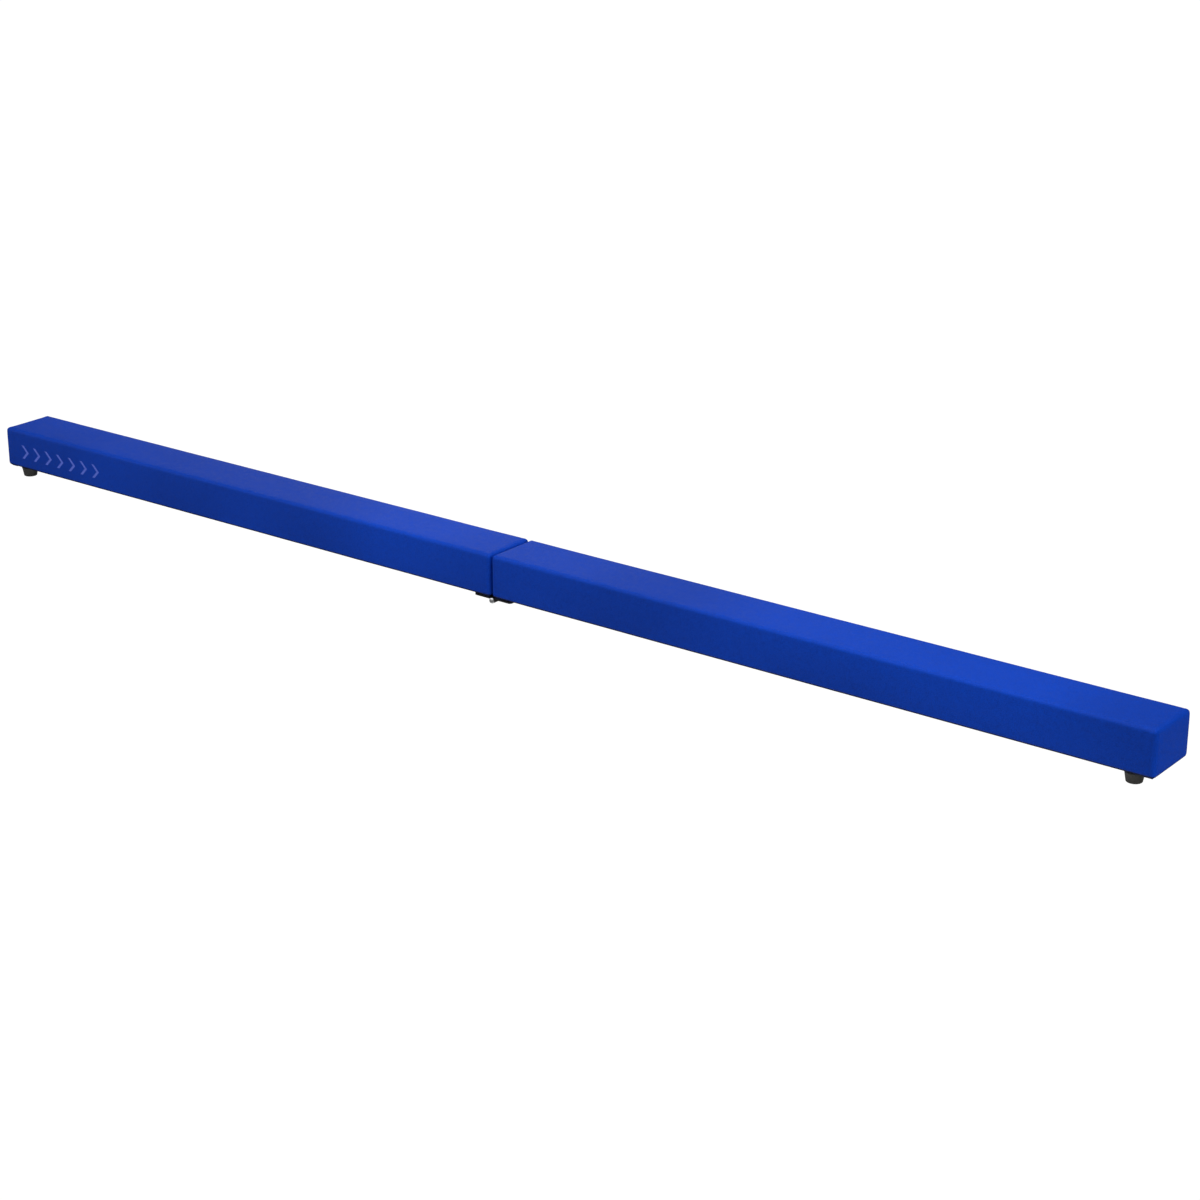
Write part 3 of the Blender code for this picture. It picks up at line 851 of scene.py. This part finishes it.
class FLOOR_BEAM_OT_foam(bpy.types.Operator):
    """Cut the foam pads that lie under each cover"""

    bl_idname = "floor_beam.foam"
    bl_label = "Foam Pads"

    def execute(self, context):
        gap, rounding, cell = 0.0004, 0.0040, 0.02
        for number, side in enumerate(SIDES):
            for kind in FOAMS:
                node = f"{side}_{kind}"
                low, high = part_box(node)
                slack = Vector((gap,) * 3)
                piece = cube(f"{node}_pad", low + slack, high - slack)
                edit(piece, "EDGE")
                bpy.ops.mesh.select_all(action="SELECT")
                bpy.ops.mesh.bevel(offset=rounding, segments=4, affect="EDGES")
                longest = max(range(3), key=lambda i: (high - low)[i])
                axis, length = (X, Y, Z)[longest], (high - low)[longest]
                pick(piece, "edges", lambda e, a=axis, n=length: runs_along(e, a, 0.6 * n))
                bpy.ops.mesh.subdivide(number_cuts=max(2, int(length / cell)))
                finish_edit(SOFT_ANGLE)
                uneven(piece, height=0.00012, length=0.05, seed=2.0 + number)
                settle(piece, side, finish(closed_cell_foam), [node])
        return {"FINISHED"}


class FLOOR_BEAM_OT_timber(bpy.types.Operator):
    """Give the wooden box its plywood and pine"""

    bl_idname = "floor_beam.timber"
    bl_label = "Wooden Box"

    def execute(self, context):
        for side in SIDES:
            for kinds, maker in ((PLYWOOD, plywood), (PINE, pine)):
                for kind in kinds:
                    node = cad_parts[f"{side}_{kind}"]
                    node.data.materials.clear()
                    node.data.materials.append(finish(maker))
        return {"FINISHED"}


class FLOOR_BEAM_OT_dust_cloths(bpy.types.Operator):
    """Stretch a black dust cloth over each underside and staple it"""

    bl_idname = "floor_beam.dust_cloths"
    bl_label = "Dust Cloths"

    def execute(self, context):
        sizes = context.scene.floor_beam_sizes
        for number, side in enumerate(SIDES):
            low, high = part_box(f"{side}_dust_cloth")
            cloth = self.cloth(side, low, high, number)
            staples = self.staples(side, low, high, sizes)
        return {"FINISHED"}

    def cloth(self, side, low, high, number):
        """A thin sheet, held flat at its edges, pulled into faint ripples between its staples."""
        begin()
        cell, rim, ripple_length = 0.008, 0.02, 0.03
        sag, ripple_height = 0.0001, 0.00018
        size = high - low
        middle = (low + high) / 2
        bpy.ops.mesh.primitive_plane_add(size=1.0, location=(middle.x, middle.y, high.z))
        bpy.context.active_object.scale = (size.x, size.y, 1.0)
        piece = named(f"{side}_underside_cloth")
        edit(piece, "EDGE")
        for axis, length in ((X, size.x), (Y, size.y)):
            pick(piece, "edges", lambda e, a=axis, n=length: runs_along(e, a, 0.9 * n))
            bpy.ops.mesh.subdivide(number_cuts=round(length / cell) - 1)
        finish_edit()
        for vert in piece.data.vertices:
            across = min(vert.co.x - low.x, high.x - vert.co.x)
            along = min(vert.co.y - low.y, high.y - vert.co.y)
            inner = min(1.0, min(across, along) / rim)
            ripple = noise.noise(vert.co / ripple_length + Vector((number, 0, 0)))
            vert.co.z -= sag + ripple_height * inner * (1 + ripple)
        apply_modifier(piece, "SOLIDIFY", thickness=size.z * 0.5, offset=0.0)
        smooth(piece, SOFT_ANGLE)
        return settle(piece, side, finish(non_woven), [f"{side}_dust_cloth"])

    def staples(self, side, low, high, sizes):
        """Staples along the cloth's edges: their crowns lie on it, their legs are in the wood."""
        wire, crown, leg, bend, inset, most_lean = 0.0011, 0.010, 0.003, 0.0003, 0.0045, 0.09
        first = cube("staple", (-crown / 2, -wire / 2, -wire / 2), (crown / 2, wire / 2, 0))
        edit(first)
        legs = crown / 2 - wire
        for reach in (-legs, legs):
            bpy.ops.mesh.select_all(action="SELECT")
            bpy.ops.mesh.bisect(plane_co=(reach, 0, 0), plane_no=(1, 0, 0))
        pick(first, "faces", lambda f: f.normal.z > 0.9 and abs(f.calc_center_median().x) > legs)
        bpy.ops.mesh.extrude_region_move(TRANSFORM_OT_translate={"value": (0, 0, leg)})
        pick(first, "edges", lambda e: runs_along(e, Y) and e.calc_face_angle(0) > 1)
        bpy.ops.mesh.bevel(offset=bend, segments=2, affect="EDGES")
        finish_edit(SOFT_ANGLE)
        keep_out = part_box(f"{side}_hinge_leaf")
        draw = random.Random(len(side))
        spots = []
        count = round((high.x - low.x) / sizes.staple_pitch)
        for i in range(count):
            x = low.x + inset + (high.x - low.x - 2 * inset) * (i + 0.5) / count
            spots += [(x, low.y + inset, 0.0), (x, high.y - inset, 0.0)]
        for x in (low.x + inset, high.x - inset):
            spots += [(x, y, math.pi / 2) for y in (low.y / 2, 0.0, high.y / 2)]
        made = []
        for x, y, turn in spots:
            if keep_out[0].x - crown < x < keep_out[1].x + crown:
                continue
            lean = turn + draw.uniform(-most_lean, most_lean)
            place = Matrix.Translation((x, y, low.z)) @ Matrix.Rotation(lean, 4, "Z")
            made.append(copied(first, f"staple_{len(made)}", place))
        bpy.data.objects.remove(first)
        piece = joined(made, f"{side}_staples")
        return settle(piece, side, finish(zinc_plated))


# A screw's cross recess: how far its arms reach, their width and their depth.
RECESS = (0.0023, 0.0009, 0.0015)
# The screw thread: its pitch, and how far below the head and the tip it starts and stops.
THREAD_PITCH = 0.0016
PLAIN_NECK = 0.0015
PLAIN_TIP = 0.005


def cross_recess(piece, level):
    """Cuts a cross recess into a screw's head, which faces down at a level."""
    reach, width, depth = RECESS
    for turn in (0.0, math.pi / 2):
        arm = cube("arm", (-reach, -width / 2, level - depth), (reach, width / 2, level + depth))
        arm.data.transform(Matrix.Rotation(turn, 4, "Z"))
        edit(arm, "VERT")
        pick(arm, "verts", lambda v: v.co.z > level)
        bpy.ops.transform.resize(value=(0.55, 0.55, 1.0), center_override=(0, 0, level + depth))
        finish_edit()
        cut_away(piece, arm)


def screw(name, head, shank, thread, level, tip):
    """A wood screw turned with its thread's ridges, its head facing down at a level."""
    pitch = THREAD_PITCH
    outline = list(head)
    height = outline[-1][1] + PLAIN_NECK
    while height < tip - PLAIN_TIP:
        outline += [(shank, height), (thread, height + pitch * 0.35), (shank, height + pitch * 0.7)]
        height += pitch
    outline += [(shank * 0.8, tip - 0.003), (0.0, tip)]
    piece = turned(name, outline, 24)
    cross_recess(piece, level)
    smooth(piece, HARD_ANGLE)
    return piece


class FLOOR_BEAM_OT_feet(bpy.types.Operator):
    """Mould the rubber feet and fit their washers and screws"""

    bl_idname = "floor_beam.feet"
    bl_label = "Rubber Feet"

    def execute(self, context):
        foot, washer, fixing = self.foot(), self.washer(), self.fixing()
        for side in SIDES:
            for place in PLACES:
                name = f"{side}_{place}_foot"
                there = over(name)
                made = copied(foot, f"{name}_rubber", there)
                settle(made, side, finish(rubber), [name])
                made = copied(washer, f"{name}_flat_washer", there)
                settle(made, side, finish(zinc_plated), [f"{name}_washer"])
                made = copied(fixing, f"{name}_wood_screw", there)
                settle(made, side, finish(zinc_plated), [f"{name}_screw"])
        for first in (foot, washer, fixing):
            bpy.data.objects.remove(first)
        return {"FINISHED"}

    def foot(self):
        """A tapered foot: a lip at its top, a rounded floor edge, and a grip groove underneath."""
        low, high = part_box("left_front_foot")
        top, wide = high.z, (high.x - low.x) / 2
        # The floor face's radius and its rounded edge, the bore for the screw's head and its
        # depth, and the hole for the screw's shank.
        floor, edge = 0.0124, 0.0014
        bore, depth, socket = 0.0056, 0.008, 0.0026
        arc = [(floor - edge + edge * sin, edge - edge * cos) for sin, cos in quarter(6)]
        lip = [
            (wide - 0.0006, top - 0.0024),
            (wide - 0.0001, top - 0.0018),
            (wide, top - 0.0012),
            (wide - 0.0001, top - 0.0004),
            (wide - 0.0006, top),
        ]
        outline = [
            (socket, depth),
            (bore - 0.0003, depth),
            (bore, depth - 0.0003),
            (bore, 0.0005),
            (bore + 0.0004, 0.0),
            (0.0086, 0.0),
            (0.0088, 0.0006),
            (0.0094, 0.0006),
            (0.0096, 0.0),
            *arc,
            *lip,
            (socket, top),
        ]
        piece = turned("foot", outline, 64, closed=True)
        smooth(piece, HARD_ANGLE)
        return piece

    def washer(self):
        low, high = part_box("left_front_foot_washer")
        wide, hole, edge = (high.x - low.x) / 2, 0.0026, 0.0002
        outline = [(hole, low.z + edge), (hole + edge, low.z), (wide - edge, low.z)]
        outline += [(wide, low.z + edge), (wide, high.z - edge), (wide - edge, high.z)]
        outline += [(hole, high.z)]
        piece = turned("washer", outline, 40, closed=True)
        smooth(piece, HARD_ANGLE)
        return piece

    def fixing(self):
        """A pan-head screw, its head domed towards the floor."""
        low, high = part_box("left_front_foot_screw")
        wide, rise, crown, neck = (high.x - low.x) / 2, 0.003, 0.0022, 0.0022
        dome = [(wide * sin, low.z + crown * (1 - cos)) for sin, cos in quarter(6)]
        head = [*dome, (wide, low.z + rise), (neck, low.z + rise)]
        return screw("fixing", head, shank=0.0016, thread=0.0022, level=low.z, tip=high.z)


class FLOOR_BEAM_OT_hinge(bpy.types.Operator):
    """Make the hinge's leaves, pin and screws"""

    bl_idname = "floor_beam.hinge"
    bl_label = "Hinge"

    def execute(self, context):
        first = self.countersunk()
        for side in SIDES:
            self.leaf(side)
            for number in range(1, 5):
                node = f"{side}_hinge_screw_{number}"
                there = over(node) @ Matrix.Rotation(0.7 * number + SIDES[side], 4, "Z")
                made = copied(first, f"{side}_leaf_screw_{number}", there)
                settle(made, side, finish(zinc_plated), [node])
        bpy.data.objects.remove(first)
        self.pin()
        return {"FINISHED"}

    def countersunk(self):
        """A countersunk screw, its flat head flush with the leaf's lower face."""
        low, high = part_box("left_hinge_screw_1")
        wide, edge, cone, neck = (high.x - low.x) / 2, 0.0002, 0.0022, 0.0021
        head = [(0.0, low.z), (wide - edge, low.z), (wide, low.z + edge), (neck, low.z + cone)]
        return screw("countersunk", head, shank=0.0015, thread=0.0020, level=low.z, tip=high.z)

    def leaf(self, side):
        """The leaf's own shape, with rounded outer corners and its edges broken."""
        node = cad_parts[f"{side}_hinge_leaf"]
        piece = copied(node, f"{side}_hinge_plate", Matrix.Identity(4))
        for key in list(piece.keys()):
            del piece[key]
        piece.parent = None
        piece.hide_render = False
        piece.hide_viewport = False
        low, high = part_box(node.name)
        outer = low.x if side == "left" else high.x
        corner, broken_edge = 0.005, 0.00025
        edit(piece, "VERT")
        bpy.ops.mesh.select_all(action="SELECT")
        bpy.ops.mesh.remove_doubles(threshold=1e-6)
        bpy.ops.mesh.dissolve_limited(angle_limit=math.radians(0.5))
        pick(
            piece,
            "edges",
            lambda e: runs_along(e, Z, 0.002) and all(abs(v.co.x - outer) < 1e-4 for v in e.verts),
        )
        bpy.ops.mesh.bevel(offset=corner, segments=6, affect="EDGES")
        finish_edit()
        apply_modifier(
            piece,
            "BEVEL",
            width=broken_edge,
            segments=2,
            limit_method="ANGLE",
            angle_limit=math.radians(40),
        )
        smooth(piece, HARD_ANGLE)
        settle(piece, side, finish(powder_coated), [node.name])

    def pin(self):
        """The hinge pin: a round bar with a domed head formed on each end."""
        low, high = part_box("hinge_pin")
        middle = (low + high) / 2
        reach, head = (high.y - low.y) / 2, (high.z - low.z) / 2
        shank, rise, rim, edge = 0.0025, 0.0034, 0.0006, 0.0001
        seat = reach - rise
        cap = [(shank, seat), (head - edge, seat), (head, seat + edge)]
        cap += [(head * cos, seat + rim + (rise - rim) * sin) for sin, cos in quarter(7)]
        outline = [(radius, -height) for radius, height in reversed(cap)] + cap
        piece = turned("hinge_pin_bar", outline, 48)
        piece.data.transform(Matrix.Translation(middle) @ Matrix.Rotation(math.pi / 2, 4, "X"))
        smooth(piece, HARD_ANGLE)
        settle(piece, "left", finish(zinc_plated), ["hinge_pin"])


# The stage.

# The camera's angles in degrees, its place in metres and its lens in millimetres.
CAMERA_AZIMUTH = 37.549
CAMERA_ELEVATION = 20.448
CAMERA_PLACE = (2.6163, -3.1600, 1.5270)
CAMERA_LENS = 78.633
# The surround's strength: as light on the beam, and as the camera sees it.
WORLD_DIM = 0.16
WORLD_WHITE = 1.05
# Each lamp's place, the point it aims at, its size and its power in watts.
LAMPS = {
    "top_softbox": ((0.2, -0.5, 2.6), (0, 0, 0), (4.0, 2.2), 78.0),
    "front_fill": ((-0.6, -4.2, 1.5), (0, 0, 0.05), (3.5, 2.0), 19.0),
    "end_fill": ((4.2, -0.6, 1.4), (1.0, 0, 0.05), (2.0, 2.0), 68.0),
    "left_fill": ((-4.2, -1.6, 1.4), (-0.6, 0, 0.05), (2.0, 2.0), 24.0),
    "haze_light": ((-3.2, 3.6, 1.8), (-0.1, 0, 0.1), (2.0, 1.6), 18.0),
    "under_fill": ((0.0, 0.0, -2.4), (0, 0, 0), (4.0, 1.2), 16.0),
}


class FLOOR_BEAM_OT_stage(bpy.types.Operator):
    """Set up the pale floor, soft light and camera"""

    bl_idname = "floor_beam.stage"
    bl_label = "Stage"

    def execute(self, context):
        self.floor()
        self.world(context.scene)
        for name, (place, aim, size, power) in LAMPS.items():
            self.lamp(name, place, aim, size, power)
        self.camera(context.scene)
        context.scene.view_settings.view_transform = "Standard"
        return {"FINISHED"}

    def floor(self):
        """A floor that lights the beam from below, lost in the white, so that it hides nothing."""
        begin()
        bpy.ops.mesh.primitive_plane_add(size=30.0)
        floor = named("studio_floor")
        floor.data.materials.append(floor_finish())
        floor.visible_camera = False
        floor.visible_glossy = False
        floor.visible_shadow = False

    def world(self, scene):
        """A white surround for the camera, and dim even light for everything else."""
        world = bpy.data.worlds.new("studio")
        world.use_nodes = True
        scene.world = world
        tree = world.node_tree
        tree.nodes.clear()
        ray = add_node(tree, "ShaderNodeLightPath").outputs["Is Camera Ray"]
        dim, white = (
            add_node(tree, "ShaderNodeBackground", {"Color": (1, 1, 1, 1), "Strength": strength})
            for strength in (WORLD_DIM, WORLD_WHITE)
        )
        mixed = {0: ray, 1: dim.outputs["Background"], 2: white.outputs["Background"]}
        both = add_node(tree, "ShaderNodeMixShader", mixed).outputs["Shader"]
        add_node(tree, "ShaderNodeOutputWorld", {"Surface": both})

    def lamp(self, name, place, aim, size, power):
        data = bpy.data.lights.new(name, "AREA")
        data.shape = "RECTANGLE"
        data.size, data.size_y = size
        data.energy = power
        lamp = bpy.data.objects.new(name, data)
        bpy.context.scene.collection.objects.link(lamp)
        lamp.location = place
        lamp.rotation_euler = (Vector(place) - Vector(aim)).to_track_quat("Z", "Y").to_euler()
        lamp.visible_camera = False
        # The end fill would lay a grey sheen over the end face, so it is left out of reflections.
        lamp.visible_glossy = name != "end_fill"

    def camera(self, scene):
        data = bpy.data.cameras.new("camera")
        data.lens = CAMERA_LENS
        camera = bpy.data.objects.new("camera", data)
        scene.collection.objects.link(camera)
        camera.location = CAMERA_PLACE
        tilt = math.radians(90 - CAMERA_ELEVATION)
        camera.rotation_euler = (tilt, 0, math.radians(CAMERA_AZIMUTH))
        scene.camera = camera


class FLOOR_BEAM_PT_sidebar(bpy.types.Panel):
    """Sizes, colours and steps of the floor beam"""

    bl_label = "Floor Beam"
    bl_space_type = "VIEW_3D"
    bl_region_type = "UI"
    bl_category = "Floor Beam"

    def draw(self, context):
        for group in (context.scene.floor_beam_sizes, context.scene.floor_beam_colours):
            column = self.layout.column(align=True)
            for field in group.bl_rna.properties:
                if field.identifier not in {"rna_type", "name"}:
                    column.prop(group, field.identifier)
        for operator in OPERATORS:
            self.layout.operator(operator.bl_idname)


OPERATORS = (
    FLOOR_BEAM_OT_stage,
    FLOOR_BEAM_OT_covers,
    FLOOR_BEAM_OT_tucks,
    FLOOR_BEAM_OT_foam,
    FLOOR_BEAM_OT_timber,
    FLOOR_BEAM_OT_dust_cloths,
    FLOOR_BEAM_OT_feet,
    FLOOR_BEAM_OT_hinge,
)
CLASSES = (FloorBeamSizes, FloorBeamColours, *OPERATORS, FLOOR_BEAM_PT_sidebar)


def register():
    for item in CLASSES:
        bpy.utils.register_class(item)
    bpy.types.Scene.floor_beam_sizes = bpy.props.PointerProperty(type=FloorBeamSizes)
    bpy.types.Scene.floor_beam_colours = bpy.props.PointerProperty(type=FloorBeamColours)


def unregister():
    del bpy.types.Scene.floor_beam_colours
    del bpy.types.Scene.floor_beam_sizes
    for item in reversed(CLASSES):
        bpy.utils.unregister_class(item)


def main():
    """Registers the add-on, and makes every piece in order."""
    register()
    begin()
    bpy.ops.floor_beam.stage()
    bpy.ops.floor_beam.covers()
    bpy.ops.floor_beam.tucks()
    bpy.ops.floor_beam.foam()
    bpy.ops.floor_beam.timber()
    bpy.ops.floor_beam.dust_cloths()
    bpy.ops.floor_beam.feet()
    bpy.ops.floor_beam.hinge()


if __name__ == "__main__":
    main()
